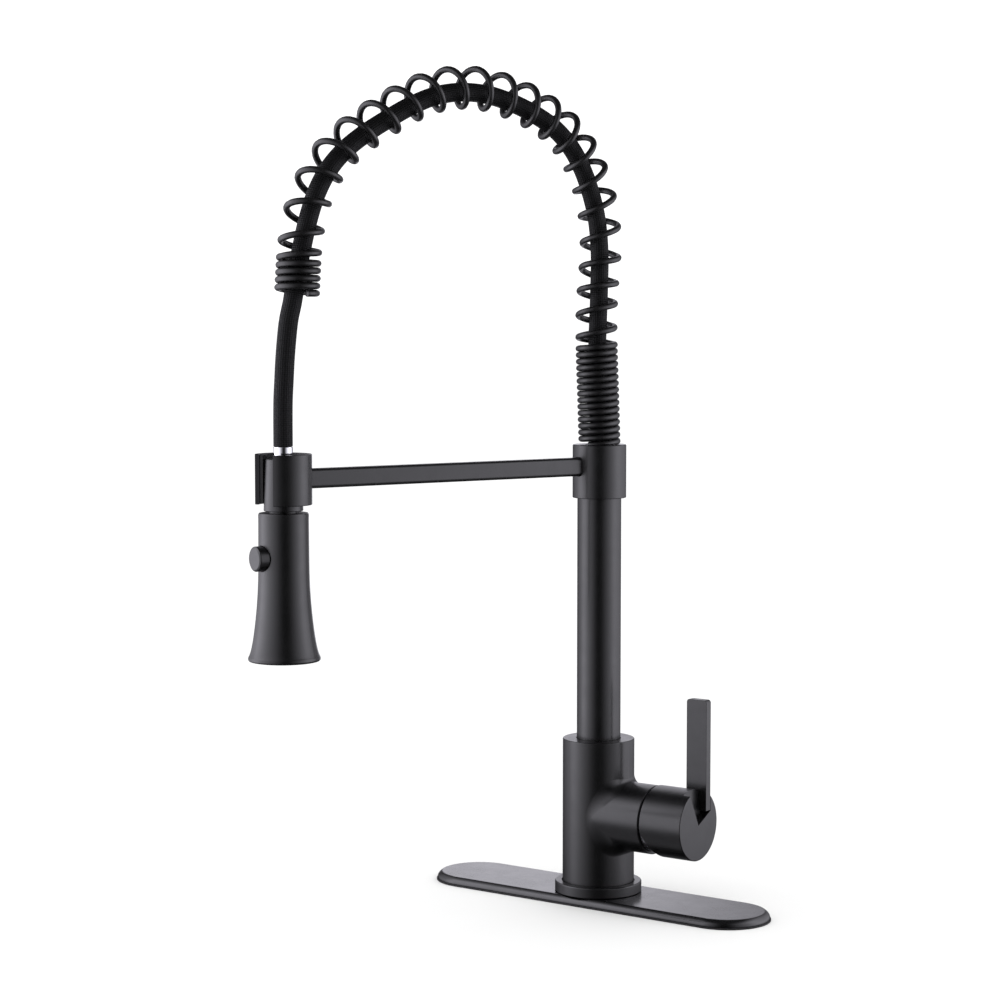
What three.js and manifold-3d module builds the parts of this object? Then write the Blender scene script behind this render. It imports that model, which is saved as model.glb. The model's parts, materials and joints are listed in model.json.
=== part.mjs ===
// Deck-mounted pre-rinse faucet: body with a side lever, spring-supported hose,
// and a spray head docked on an arm. Millimetres, +Z up. The origin is on the
// body axis, where the gasket meets the deck. The lever is on the +X side.
import * as THREE from 'three';
import { mergeVertices } from 'three/addons/utils/BufferGeometryUtils.js';
import Module from 'manifold-3d';

const wasm = await Module();
wasm.setup();

// Sides of a plain round piece, of a large visible one, and of a small or hidden one
const ROUND_SIDES = 32;
const LARGE_SIDES = 40;
const SMALL_SIDES = 20;

// Deck plate and gasket
const PLATE_LENGTH = 260;
const PLATE_WIDTH = 60;
const GASKET_TOP = 1.2;
const PLATE_BOTTOM = 1.5;
const PLATE_TOP = 6.0;
const PLATE_RIM = 3.0;
const DECK_HOLE = 17.5;

// Below the deck
const SHANK_RADIUS = 15.9;
const SHANK_INNER = 11;
const SHANK_BOTTOM = -50;
const SHANK_TOP = 30;
const WASHER_HOLE = 16.2;
const WASHER_RADIUS = 28;
const DECK_UNDERSIDE = -25;
const NUT_TOP = -31.5;
const NUT_HEIGHT = 11;

// Valve body
const BODY_BOTTOM = 6.3;
const BODY_TOP = 110.2;
const BODY_RADIUS = 24.2;
const VALVE_Z = 59.4;
const PORT_RADIUS = 23.0;
const PORT_END = 46.0;
const PORT_BORE = 19.5;
const PORT_FLOOR = 22.0;
const FILLET = 2.5;
const SIDE_BLEND = 20.0;
const RISER_BORE = 15.05;
const RISER_FLOOR = 84.0;
const SHANK_BORE = 16.3;
const SHANK_CEILING = 36.0;
const INLET_Z = 50.0;
const OUTLET_Z = 69.0;

// Cartridge and handle, along the valve axis
const TILT_X = 50.0;
const DOME_RADIUS = 21.6;
const CAP_RADIUS = 23.5;
const CAP_REAR = 47.6;
const CAP_END = 79.2;
const CAP_HOLLOW = 22.0;
const NOTCH_FLOOR = 73.8;
const STEM_RADIUS = 3.5;
const CLEARANCE = 0.3;

// Spout: the arm and arch swing with the riser
const SPOUT_SWING = THREE.MathUtils.degToRad(-20);
const REACH = 241.4;
const RISER_RADIUS = 14.75;
const RISER_WALL = 2.75;
const RISER_TOP = 303.0;
const COLLAR_RADIUS = 18.0;
const COLLAR_BOTTOM = 272.8;
const COLLAR_TOP = 308.5;
const ARM_Z = 294.0;
const ARM_HEIGHT = 12.4;
const ARM_THICKNESS = 8.0;
const CLIP_OUTER = 17.8;
const CLIP_INNER = 15.0;
const CLIP_BOTTOM = 278.4;
const CLIP_TOP = 309.8;

// Support spring and hose
const WIRE_RADIUS = 2.0;
const COIL_RADIUS = 12.1;
const COIL_START = 1.8;
const TURN_PITCHES = [
  ...Array(15).fill(4.3), 12.4, 16.9, 13.7, 16.8, 19.6, 18.9, 18.8, 16.2, 17.9, 17.0, 17.5,
  19.1, 19.0, ...Array(9).fill(19.5), 10.5, ...Array(5).fill(4.6),
];
const STEPS_PER_TURN = 9;
const WIRE_SIDES = 5;
const HOSE_RADIUS = 6.0;
const HOSE_START_Z = 300.0;
const HOSE_END_Z = 314.6;

// The arch: forward distance, height, and how far the hose lies to the inside
const ARCH = [
  [0, 309, 0], [1.2, 340, 0], [2.6, 374, -0.5], [2.8, 395, -1.5], [1.6, 415, -1],
  [-0.2, 432, 0.5], [-0.3, 447, 1.5], [1.2, 461, 2.2], [5, 476, 2.9], [11.8, 491.5, 2.9],
  [21.5, 506, 2.9], [34.5, 518, 2.9], [50.5, 527, 2.9], [69, 534, 2.9], [90.5, 538.9, 2.9],
  [112, 539.4, 2.9], [131, 536, 2.9], [149, 529, 2.9], [167, 519.6, 2.9], [184, 509.5, 2.8],
  [198.5, 499, 2.9], [210, 487, 2.9], [218.6, 473, 2.9], [225, 456.5, 2.9],
  [228.8, 437, 1.5], [230.3, 418, -1.2], [231.3, 403, -2.9],
];
// Where the hose hangs below the spring: forward distance and height
const HOSE_DROP = [
  [236.9, 392], [238.5, 380], [239.7, 367.5], [240.5, 355], [241.2, 343], [241.4, 330],
];

// Spray head
const SHELL_PROFILE = [
  [15.7, 273.0], [15.6, 269], [15.75, 244], [15.95, 231.8], [16.6, 219.4], [17.74, 207],
  [19.42, 194.5], [20.7, 188.2], [21.6, 185], [22.5, 184], [22.5, 183], [21.6, 181.5],
];
const SHELL_HOLLOW = [
  [19.9, 181.5], [19.9, 185.9], [18.6, 185.9], [17.2, 194.5], [15.6, 207], [14.3, 219.4],
  [13.3, 231.8], [13.3, 269.5], [9.4, 269.5], [9.4, 273.5], [15.2, 273.5],
];
const NECK_BOTTOM = 274.7;
const BUTTON_Z = 245.8;
const BUTTON_RADIUS = 7.8;
const BUTTON_FACE = 21.0;
const BUTTON_INNER = 14.2;

const material = (color, roughness, metalness) => (
  new THREE.MeshStandardMaterial({ color, roughness, metalness })
);
const BLACK_PAINT = material(0x1b1b1c, 0.38, 0.55);
const RUBBER = material(0x17181a, 0.8, 0.0);
const HOSE_BRAID = material(0x16171a, 0.6, 0.1);
const CHROME = material(0xd5d6d8, 0.12, 1.0);
const STEEL = material(0xa9abad, 0.32, 1.0);
const BRASS = material(0xb2924f, 0.35, 1.0);
const BLACK_PLASTIC = material(0x1a1b1c, 0.45, 0.0);
const CERAMIC = material(0xe6e2d8, 0.3, 0.0);

// ---------- geometry helpers ----------

function toManifold(geometry) {
  const bare = geometry.clone();
  bare.deleteAttribute('normal');
  bare.deleteAttribute('uv');
  const welded = mergeVertices(bare, 1e-4);
  const mesh = new wasm.Mesh({
    numProp: 3,
    vertProperties: new Float32Array(welded.attributes.position.array),
    triVerts: new Uint32Array(welded.index.array),
  });
  return new wasm.Manifold(mesh);
}

function toGeometry(solid) {
  const mesh = solid.getMesh();
  const geometry = new THREE.BufferGeometry();
  geometry.setAttribute('position', new THREE.BufferAttribute(mesh.vertProperties, 3));
  geometry.setIndex(new THREE.BufferAttribute(mesh.triVerts, 1));
  geometry.computeVertexNormals();
  return geometry;
}

function combine(base, { add = [], cut = [] }) {
  let solid = toManifold(base);
  for (const geometry of add) {
    solid = solid.add(toManifold(geometry));
  }
  for (const geometry of cut) {
    solid = solid.subtract(toManifold(geometry));
  }
  return toGeometry(solid);
}

// A solid of revolution about Z from [radius, z] points. A profile that leaves
// the axis free is closed on itself.
function turned(profile, segments = ROUND_SIDES) {
  const points = profile.map(([r, z]) => new THREE.Vector2(r, z));
  const last = points.length - 1;
  if (points[0].x > 0 || points[last].x > 0) {
    points.push(points[0].clone());
  }
  if (THREE.ShapeUtils.area(points) < 0) {
    points.reverse();
  }
  return new THREE.LatheGeometry(points, segments).rotateX(Math.PI / 2);
}

function ring(inner, outer, low, high, segments = ROUND_SIDES) {
  return turned([[inner, low], [outer, low], [outer, high], [inner, high]], segments);
}

function disc(radius, low, high, segments = ROUND_SIDES) {
  return turned([[0, low], [radius, low], [radius, high], [0, high]], segments);
}

// Turns a shape made about Z so that its axis is +X, or forward (-Y).
const alongX = (geometry) => geometry.rotateY(Math.PI / 2);
const forward = (geometry) => geometry.rotateX(Math.PI / 2);

function block(x0, x1, y0, y1, z0, z1) {
  const geometry = new THREE.BoxGeometry(x1 - x0, y1 - y0, z1 - z0);
  return geometry.translate((x0 + x1) / 2, (y0 + y1) / 2, (z0 + z1) / 2);
}

function outline(points) {
  return new THREE.Shape(points.map(([x, y]) => new THREE.Vector2(x, y)));
}

function extruded(shape, depth, options = {}) {
  return new THREE.ExtrudeGeometry(shape, { depth, bevelEnabled: false, ...options });
}

function stadium(length, width) {
  const radius = width / 2;
  const half = length / 2 - radius;
  const shape = new THREE.Shape();
  shape.absarc(half, 0, radius, -Math.PI / 2, Math.PI / 2, false);
  shape.absarc(-half, 0, radius, Math.PI / 2, 1.5 * Math.PI, false);
  return shape;
}

// An open ring, with its gap centred on forward (-Y).
function openRing(inner, outer, halfGap, low, high) {
  const gap = THREE.MathUtils.degToRad(halfGap);
  const start = -Math.PI / 2 + gap;
  const end = 1.5 * Math.PI - gap;
  const shape = new THREE.Shape();
  shape.absarc(0, 0, outer, start, end, false);
  shape.absarc(0, 0, inner, end, start, true);
  return extruded(shape, high - low, { curveSegments: 24 }).translate(0, 0, low);
}

function roundSection(radius, sides) {
  const points = [];
  for (let i = 0; i < sides; i += 1) {
    const angle = (i / sides) * 2 * Math.PI;
    points.push([radius * Math.cos(angle), radius * Math.sin(angle)]);
  }
  return outline(points);
}

function place(parent, name, geometry, look) {
  const mesh = new THREE.Mesh(geometry, look);
  mesh.name = name;
  parent.add(mesh);
  return mesh;
}

// ---------- deck plate ----------

function deckPlate() {
  const top = stadium(PLATE_LENGTH - 2 * PLATE_RIM, PLATE_WIDTH - 2 * PLATE_RIM);
  const rounded = extruded(top, PLATE_TOP - PLATE_RIM, {
    bevelEnabled: true,
    bevelThickness: PLATE_RIM,
    bevelSize: PLATE_RIM - 0.7,
    bevelSegments: 3,
    curveSegments: 16,
  });
  const half = PLATE_LENGTH / 2 + 5;
  return combine(rounded, {
    cut: [
      block(-half, half, -PLATE_WIDTH, PLATE_WIDTH, -PLATE_RIM - 2, PLATE_BOTTOM),
      disc(DECK_HOLE, -1, PLATE_TOP + 1),
    ],
  });
}

function deckGasket() {
  const shape = stadium(PLATE_LENGTH, PLATE_WIDTH);
  const hole = new THREE.Path();
  hole.absarc(0, 0, DECK_HOLE, 0, 2 * Math.PI, true);
  shape.holes.push(hole);
  return extruded(shape, GASKET_TOP, { curveSegments: 16 });
}

function baseRing() {
  return turned([
    [24.6, 6.3], [29.3, 6.3], [29.3, 12.4], [28.5, 13.2], [24.6, 13.2],
  ], LARGE_SIDES);
}

// ---------- valve body ----------

// The rounded inside corner where the port leaves the column, as a closed ring
// that overlaps both. A ball rolls round the joint, small above and below the
// port and larger at its sides, where the two cylinders nearly touch.
function saddleFillet() {
  const around = 28;
  const across = 3;
  const sink = 0.1;
  const sections = [];
  for (let i = 0; i < around; i += 1) {
    sections.push(filletSection((i / around) * 2 * Math.PI, across, sink));
  }
  const perSection = sections[0].length;
  const positions = sections.flat().flatMap((p) => [p.x, p.y, p.z]);
  const index = [];
  for (let i = 0; i < around; i += 1) {
    const next = (i + 1) % around;
    for (let j = 0; j < perSection; j += 1) {
      const up = (j + 1) % perSection;
      const a = i * perSection + j;
      const b = next * perSection + j;
      const c = next * perSection + up;
      const d = i * perSection + up;
      index.push(a, c, b, a, d, c);
    }
  }
  const geometry = new THREE.BufferGeometry();
  geometry.setAttribute('position', new THREE.Float32BufferAttribute(positions, 3));
  geometry.setIndex(index);
  return geometry;
}

function filletSection(angle, across, sink) {
  const ball = FILLET + SIDE_BLEND * Math.cos(angle) ** 2;
  const reach = PORT_RADIUS + ball;
  const y = reach * Math.cos(angle);
  const z = reach * Math.sin(angle);
  const x = Math.sqrt((BODY_RADIUS + ball) ** 2 - y ** 2);
  const centre = new THREE.Vector3(x, y, z);
  const shrink = (BODY_RADIUS - sink) / (BODY_RADIUS + ball);
  const onColumn = new THREE.Vector3(x * shrink, y * shrink, z);
  const portShrink = (PORT_RADIUS - sink) / reach;
  const onPort = new THREE.Vector3(x, y * portShrink, z * portShrink);
  const points = [];
  for (let i = 0; i <= across; i += 1) {
    const point = new THREE.Vector3().lerpVectors(onPort, onColumn, i / across);
    const middle = i > 0 && i < across;
    if (middle) {
      point.sub(centre).setLength(ball).add(centre);
    }
    points.push(point);
  }
  const insideY = PORT_RADIUS * 0.85 * Math.cos(angle);
  const insideZ = PORT_RADIUS * 0.85 * Math.sin(angle);
  const insideX = 0.9 * Math.sqrt(BODY_RADIUS ** 2 - insideY ** 2);
  points.push(new THREE.Vector3(insideX, insideY, insideZ));
  return points;
}

function valveBody() {
  const column = turned([
    [0, BODY_BOTTOM], [BODY_RADIUS, BODY_BOTTOM], [BODY_RADIUS, BODY_TOP - 0.8],
    [BODY_RADIUS - 0.8, BODY_TOP], [0, BODY_TOP],
  ], LARGE_SIDES);
  const port = alongX(turned([
    [0, 5], [PORT_RADIUS, 5], [PORT_RADIUS, PORT_END - 0.5],
    [PORT_RADIUS - 0.5, PORT_END], [0, PORT_END],
  ], LARGE_SIDES)).translate(0, 0, VALVE_Z);
  const crossway = (z) => alongX(disc(4, -2, PORT_FLOOR + 1, SMALL_SIDES)).translate(0, 0, z);
  return combine(column, {
    add: [port, saddleFillet().translate(0, 0, VALVE_Z)],
    cut: [
      disc(SHANK_BORE, BODY_BOTTOM - 1, SHANK_CEILING),
      disc(RISER_BORE, RISER_FLOOR, BODY_TOP + 1),
      alongX(disc(PORT_BORE, PORT_FLOOR, PORT_END + 1)).translate(0, 0, VALVE_Z),
      disc(5, SHANK_CEILING - 1, INLET_Z, SMALL_SIDES),
      disc(5, OUTLET_Z, RISER_FLOOR + 1, SMALL_SIDES),
      crossway(INLET_Z),
      crossway(OUTLET_Z),
    ],
  });
}

// ---------- cartridge, about the valve axis with z = 0 on the axis ----------

function ceramicDisc(low, high) {
  const port = (z) => alongX(disc(2.5, low - 1, high + 1, 10)).translate(0, 0, z);
  return combine(alongX(disc(13.0, low, high, SMALL_SIDES)), { cut: [port(-8.5), port(8.5)] });
}

// The dome is centred on the tilt axis, so the cap swings over it. It stops short
// of the handle screw.
function cartridgeNut() {
  const [shoulder, end] = [46.3, 58];
  const steps = 4;
  const dome = [];
  for (let i = 0; i <= steps; i += 1) {
    const x = shoulder + (i / steps) * (end - shoulder);
    dome.push([Math.sqrt(DOME_RADIUS ** 2 - (x - TILT_X) ** 2), x]);
  }
  return alongX(turned([
    [17.8, 36], [19.2, 36], [19.2, shoulder], ...dome, [14.5, end], [14.5, 45.8], [17.8, 45.8],
  ]));
}

function cartridgeRotor() {
  return combine(alongX(disc(13.0, 29.0, 54.0, SMALL_SIDES)), {
    cut: [
      block(38.5, 55, -STEM_RADIUS - CLEARANCE, STEM_RADIUS + CLEARANCE, -8, 8),
      crossPin(1.8, 14),
    ],
  });
}

function crossPin(radius, halfLength) {
  const pin = disc(radius, -halfLength, halfLength, 12);
  return forward(pin).translate(TILT_X, 0, 0);
}

function valveStem() {
  return combine(alongX(disc(STEM_RADIUS, 40, 70, SMALL_SIDES)), { cut: [crossPin(1.8, 5)] });
}

// ---------- handle ----------

function handleCap() {
  const barrel = alongX(turned([
    [0, CAP_REAR], [CAP_RADIUS - 0.4, CAP_REAR], [CAP_RADIUS, CAP_REAR + 0.4],
    [CAP_RADIUS, CAP_END - 0.6], [CAP_RADIUS - 0.6, CAP_END], [0, CAP_END],
  ], LARGE_SIDES));
  const hollow = new THREE.SphereGeometry(CAP_HOLLOW, 32, 16).translate(TILT_X, 0, 0);
  const boss = alongX(disc(7.0, 63, 73, SMALL_SIDES));
  const shell = combine(barrel, { cut: [hollow] });
  return combine(shell, {
    add: [boss],
    cut: [
      alongX(disc(STEM_RADIUS + CLEARANCE, 62, 70.3, SMALL_SIDES)),
      rearRelief(),
      leverNotch(),
      block(63.5, CAP_END + 1, 9.1, 15.2, 16.3, 30),
      disc(2.3, -30, -1, SMALL_SIDES).translate(67.5, 0, 0),
    ],
  });
}

// The lower rear edge slants away, to clear the port when the handle tilts.
function rearRelief() {
  const side = outline([[47, -4], [CAP_REAR, -4], [57.1, -24.6], [47, -24.6]]);
  return forward(extruded(side, 60)).translate(0, 30, 0);
}

function leverNotch() {
  const face = outline([[0, 0], [15.2, 7.8], [15.2, 30], [-14.8, 30]]);
  return upright(extruded(face, 8)).translate(NOTCH_FLOOR, 0, 0);
}

// Stands a shape drawn in (y, z) up, so that it is extruded along +X.
function upright(geometry) {
  const basis = new THREE.Matrix4().makeBasis(
    new THREE.Vector3(0, 1, 0), new THREE.Vector3(0, 0, 1), new THREE.Vector3(1, 0, 0),
  );
  return geometry.applyMatrix4(basis);
}

function handleLever() {
  const shape = new THREE.Shape();
  const [near, far, top, foot, heel, step] = [63.8, CAP_END, 81.9, 16.6, 8.0, 74.1];
  const edge = 0.5;
  const corner = 1.6;
  shape.moveTo(near + edge, foot + edge);
  shape.lineTo(step + edge, foot + edge);
  shape.lineTo(step + edge, heel + edge);
  shape.lineTo(far - edge, heel + edge);
  shape.lineTo(far - edge, top - edge - corner);
  shape.absarc(far - edge - corner, top - edge - corner, corner, 0, Math.PI / 2, false);
  shape.absarc(near + edge + corner, top - edge - corner, corner, Math.PI / 2, Math.PI, false);
  shape.closePath();
  const blade = extruded(shape, 5.5 - 2 * edge, {
    bevelEnabled: true,
    bevelThickness: edge,
    bevelSize: edge,
    bevelSegments: 2,
    curveSegments: 5,
  });
  return forward(blade).translate(0, 14.9 - edge, 0);
}

// ---------- spout ----------

function riserTube() {
  const inner = RISER_RADIUS - RISER_WALL;
  return turned([
    [inner, 84.6], [RISER_RADIUS, 84.6], [RISER_RADIUS, 90], [13.0, 90], [13.0, 92.2],
    [RISER_RADIUS, 92.2], [RISER_RADIUS, RISER_TOP], [inner, RISER_TOP],
  ]);
}

function riserSeal() {
  return new THREE.TorusGeometry(14.02, 0.7, 6, ROUND_SIDES).translate(0, 0, 91.1);
}

function riserCollar() {
  const shell = turned([
    [RISER_BORE, COLLAR_BOTTOM], [COLLAR_RADIUS - 0.5, COLLAR_BOTTOM],
    [COLLAR_RADIUS, COLLAR_BOTTOM + 0.5], [COLLAR_RADIUS, COLLAR_TOP - 0.8],
    [COLLAR_RADIUS - 0.8, COLLAR_TOP], [9.5, COLLAR_TOP], [9.5, RISER_TOP + 0.5],
    [RISER_BORE, RISER_TOP + 0.5],
  ]);
  return combine(shell, {
    cut: [
      armWindow(10, 20),
      forward(disc(2.1, -COLLAR_RADIUS - 2, -10, SMALL_SIDES)).translate(0, 0, ARM_Z),
    ],
  });
}

// The hole that the arm's end sits in, from one forward distance to another.
function armWindow(near, far) {
  const halfWidth = ARM_THICKNESS / 2 + CLEARANCE;
  const halfHeight = ARM_HEIGHT / 2 + CLEARANCE;
  return block(-halfWidth, halfWidth, -far, -near, ARM_Z - halfHeight, ARM_Z + halfHeight);
}

function dockArm() {
  const near = 15.6;
  const far = REACH - CLIP_INNER;
  const round = 2.4;
  const halfWidth = ARM_THICKNESS / 2;
  const halfHeight = ARM_HEIGHT / 2;
  const shape = new THREE.Shape();
  shape.absarc(halfWidth - round, halfHeight - round, round, 0, Math.PI / 2, false);
  shape.absarc(round - halfWidth, halfHeight - round, round, Math.PI / 2, Math.PI, false);
  shape.absarc(round - halfWidth, round - halfHeight, round, Math.PI, 1.5 * Math.PI, false);
  shape.absarc(halfWidth - round, round - halfHeight, round, 1.5 * Math.PI, 2 * Math.PI, false);
  const bar = forward(extruded(shape, far - near, { curveSegments: 5 }));
  bar.translate(0, -near, ARM_Z);
  const clip = disc(CLIP_INNER + CLEARANCE, ARM_Z - 10, ARM_Z + 10).translate(0, -REACH, 0);
  return combine(bar, { cut: [clip] });
}

function dockClip() {
  const shell = openRing(CLIP_INNER, CLIP_OUTER, 40, CLIP_BOTTOM, CLIP_TOP);
  return combine(shell.translate(0, -REACH, 0), { cut: [armWindow(REACH - 20, REACH - 10)] });
}

function dockLiner() {
  return openRing(12.9, 14.7, 42, CLIP_BOTTOM + 0.6, CLIP_TOP - 0.6).translate(0, -REACH, 0);
}

// ---------- spring and hose ----------

function planeCurve(points) {
  const curve = new THREE.CatmullRomCurve3(
    points.map(([s, z]) => new THREE.Vector3(0, -s, z)), false, 'centripetal',
  );
  curve.arcLengthDivisions = 2000;
  return curve;
}

// The unit vector across the arch, pointing to its outside.
function outward(curve, u) {
  return curve.getTangentAt(u).cross(new THREE.Vector3(1, 0, 0));
}

class CoilCurve extends THREE.Curve {
  constructor(axis) {
    super();
    this.axis = axis;
    this.axisLength = axis.getLength();
    this.turns = TURN_PITCHES.length;
    this.arcLengthDivisions = this.turns * 40;
  }

  // How far along the axis the wire is after so many turns.
  rise(turn) {
    const whole = Math.min(Math.floor(turn), this.turns - 1);
    const before = TURN_PITCHES.slice(0, whole).reduce((sum, pitch) => sum + pitch, COIL_START);
    return before + (turn - whole) * TURN_PITCHES[whole];
  }

  getPoint(t, target = new THREE.Vector3()) {
    const turn = t * this.turns;
    const u = Math.min(this.rise(turn) / this.axisLength, 1);
    const angle = Math.PI / 2 + turn * 2 * Math.PI;
    const side = new THREE.Vector3(COIL_RADIUS * Math.cos(angle), 0, 0);
    const out = outward(this.axis, u).multiplyScalar(COIL_RADIUS * Math.sin(angle));
    return target.copy(this.axis.getPointAt(u)).add(side).add(out);
  }
}

function supportSpring() {
  const coil = new CoilCurve(planeCurve(ARCH));
  return extruded(roundSection(WIRE_RADIUS, WIRE_SIDES), 1, {
    extrudePath: coil,
    steps: coil.turns * STEPS_PER_TURN,
  });
}

function sprayHose() {
  const axis = planeCurve(ARCH);
  const points = ARCH.map(([s, z, inside], i) => {
    const out = outward(axis, closestU(axis, i));
    return [s + out.y * inside, z - out.z * inside];
  });
  const path = planeCurve([
    [0, HOSE_START_Z], ...points, ...HOSE_DROP, [REACH, HOSE_END_Z],
  ]);
  return extruded(roundSection(HOSE_RADIUS, 8), 1, { extrudePath: path, steps: 66 });
}

// The arc-length parameter of the arch's numbered point.
function closestU(axis, number) {
  const lengths = axis.getLengths();
  const at = Math.round((number / (ARCH.length - 1)) * (lengths.length - 1));
  return lengths[at] / lengths[lengths.length - 1];
}

function hoseNipple() {
  return turned([
    [3, 288], [11.7, 288], [11.7, 294], [6.15, 294], [6.15, 299.7], [3, 299.7],
  ], SMALL_SIDES);
}

function hoseFerrule() {
  return turned([
    [3, 297], [6.15, 297], [6.15, 313.9], [5.75, 314.3], [3, 314.3],
  ], SMALL_SIDES);
}

// ---------- spray head, about its own axis ----------

function headNeck() {
  return turned([
    [3, 261], [9.0, 261], [9.0, NECK_BOTTOM], [11.9, NECK_BOTTOM], [12.25, NECK_BOTTOM + 0.4],
    [11.0, 306.2],
    [10.5, 306.7], [6.45, 306.7], [6.45, 296.7], [3, 296.7],
  ]);
}

function headShell() {
  const shell = turned([...SHELL_PROFILE, ...SHELL_HOLLOW]);
  const hole = forward(disc(BUTTON_RADIUS + 0.4, 11, 25, SMALL_SIDES)).translate(0, 0, BUTTON_Z);
  return combine(shell, { cut: [hole] });
}

function headCore() {
  const core = turned([
    [3, 196], [11.2, 196], [11.2, 269.1], [9.4, 269.1], [9.4, 260.6], [3, 260.6],
  ], SMALL_SIDES);
  const pocket = forward(disc(5.2, 3.8, 12, SMALL_SIDES)).translate(0, 0, BUTTON_Z);
  return combine(core, { cut: [pocket] });
}

function sprayButton() {
  const face = [
    [BUTTON_RADIUS - 0.4, BUTTON_FACE - 0.6], [BUTTON_RADIUS - 1, BUTTON_FACE - 0.1],
    [0, BUTTON_FACE],
  ];
  return forward(turned([
    [0, 7], [2.5, 7], [2.5, BUTTON_INNER], [BUTTON_RADIUS, BUTTON_INNER],
    [BUTTON_RADIUS, BUTTON_FACE - 1], ...face,
  ], SMALL_SIDES)).translate(0, 0, BUTTON_Z);
}

function sprayFace() {
  const holes = [];
  const count = 12;
  for (let i = 0; i < count; i += 1) {
    const angle = (i / count) * 2 * Math.PI;
    const hole = disc(0.9, 181, 187, 6);
    holes.push(hole.translate(14 * Math.cos(angle), 14 * Math.sin(angle), 0));
  }
  return combine(ring(8.4, 19.6, 182.3, 185.5), { cut: holes });
}

function aerator() {
  return turned([[3, 190], [8.0, 190], [8.0, 182.6], [6.5, 182.6], [6.5, 188], [3, 188]], SMALL_SIDES);
}

// ---------- below the deck ----------

function mountingShank() {
  return ring(SHANK_INNER, SHANK_RADIUS, SHANK_BOTTOM, SHANK_TOP);
}

function washer(top, thickness) {
  return ring(WASHER_HOLE, WASHER_RADIUS, top - thickness, top);
}

function lockNut() {
  const nut = extruded(roundSection(26, 6), NUT_HEIGHT).translate(0, 0, NUT_TOP - NUT_HEIGHT);
  return combine(nut, { cut: [disc(WASHER_HOLE, NUT_TOP - NUT_HEIGHT - 1, NUT_TOP + 1)] });
}

// ---------- assembly ----------

const faucet = new THREE.Group();
place(faucet, 'deck_gasket', deckGasket(), RUBBER);
place(faucet, 'deck_plate', deckPlate(), BLACK_PAINT);
place(faucet, 'base_ring', baseRing(), BLACK_PAINT);
place(faucet, 'valve_body', valveBody(), BLACK_PAINT);
place(faucet, 'mounting_shank', mountingShank(), BRASS);
place(faucet, 'deck_washer', washer(DECK_UNDERSIDE, 3), RUBBER);
place(faucet, 'clamp_washer', washer(DECK_UNDERSIDE - 3.3, 2.9), STEEL);
place(faucet, 'lock_nut', lockNut(), BRASS);

const valve = new THREE.Group();
valve.position.z = VALVE_Z;
faucet.add(valve);
place(valve, 'cartridge_shell', alongX(ring(13.4, 17.5, 22.4, 45.4, SMALL_SIDES)), BLACK_PLASTIC);
place(valve, 'ceramic_seat', ceramicDisc(22.4, 25.4), CERAMIC);
place(valve, 'ceramic_shutter', ceramicDisc(25.7, 28.7), CERAMIC);
place(valve, 'cartridge_nut', cartridgeNut(), STEEL);
place(valve, 'cartridge_rotor', cartridgeRotor(), BLACK_PLASTIC);
place(valve, 'stem_pin', crossPin(1.5, 12.5), STEEL);
place(valve, 'valve_stem', valveStem(), STEEL);
place(valve, 'handle_cap', handleCap(), BLACK_PAINT);
place(valve, 'handle_lever', handleLever(), BLACK_PAINT);
place(valve, 'handle_screw', disc(2.0, -20, -4.1, SMALL_SIDES).translate(67.5, 0, 0), STEEL);

const spout = new THREE.Group();
spout.rotation.z = SPOUT_SWING;
faucet.add(spout);
place(spout, 'riser_tube', riserTube(), BLACK_PAINT);
place(spout, 'riser_seal', riserSeal(), RUBBER);
place(spout, 'riser_collar', riserCollar(), BLACK_PAINT);
place(spout, 'collar_screw', forward(disc(1.8, -17.6, -15.1, SMALL_SIDES)).translate(0, 0, ARM_Z), STEEL);
place(spout, 'dock_arm', dockArm(), BLACK_PAINT);
place(spout, 'dock_clip', dockClip(), BLACK_PAINT);
place(spout, 'dock_liner', dockLiner(), BLACK_PLASTIC);
place(spout, 'hose_nipple', hoseNipple(), BRASS);
place(spout, 'spray_hose', sprayHose(), HOSE_BRAID);
place(spout, 'support_spring', supportSpring(), BLACK_PAINT);

const head = new THREE.Group();
head.position.y = -REACH;
spout.add(head);
place(head, 'hose_ferrule', hoseFerrule(), CHROME);
place(head, 'head_neck', headNeck(), BLACK_PAINT);
place(head, 'head_shell', headShell(), BLACK_PAINT);
place(head, 'head_core', headCore(), BLACK_PLASTIC);
place(head, 'spray_button', sprayButton(), BLACK_PAINT);
place(head, 'spray_face', sprayFace(), BLACK_PLASTIC);
place(head, 'aerator', aerator(), STEEL);

export default faucet;
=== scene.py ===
"""Looks for the pre-rinse faucet: camera, light, fine replacement meshes and materials.

Shapes are written in millimetres and brought to metres when an object is made.
"""
import json
import math

import bmesh
import bpy
from mathutils import Matrix, Vector


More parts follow.
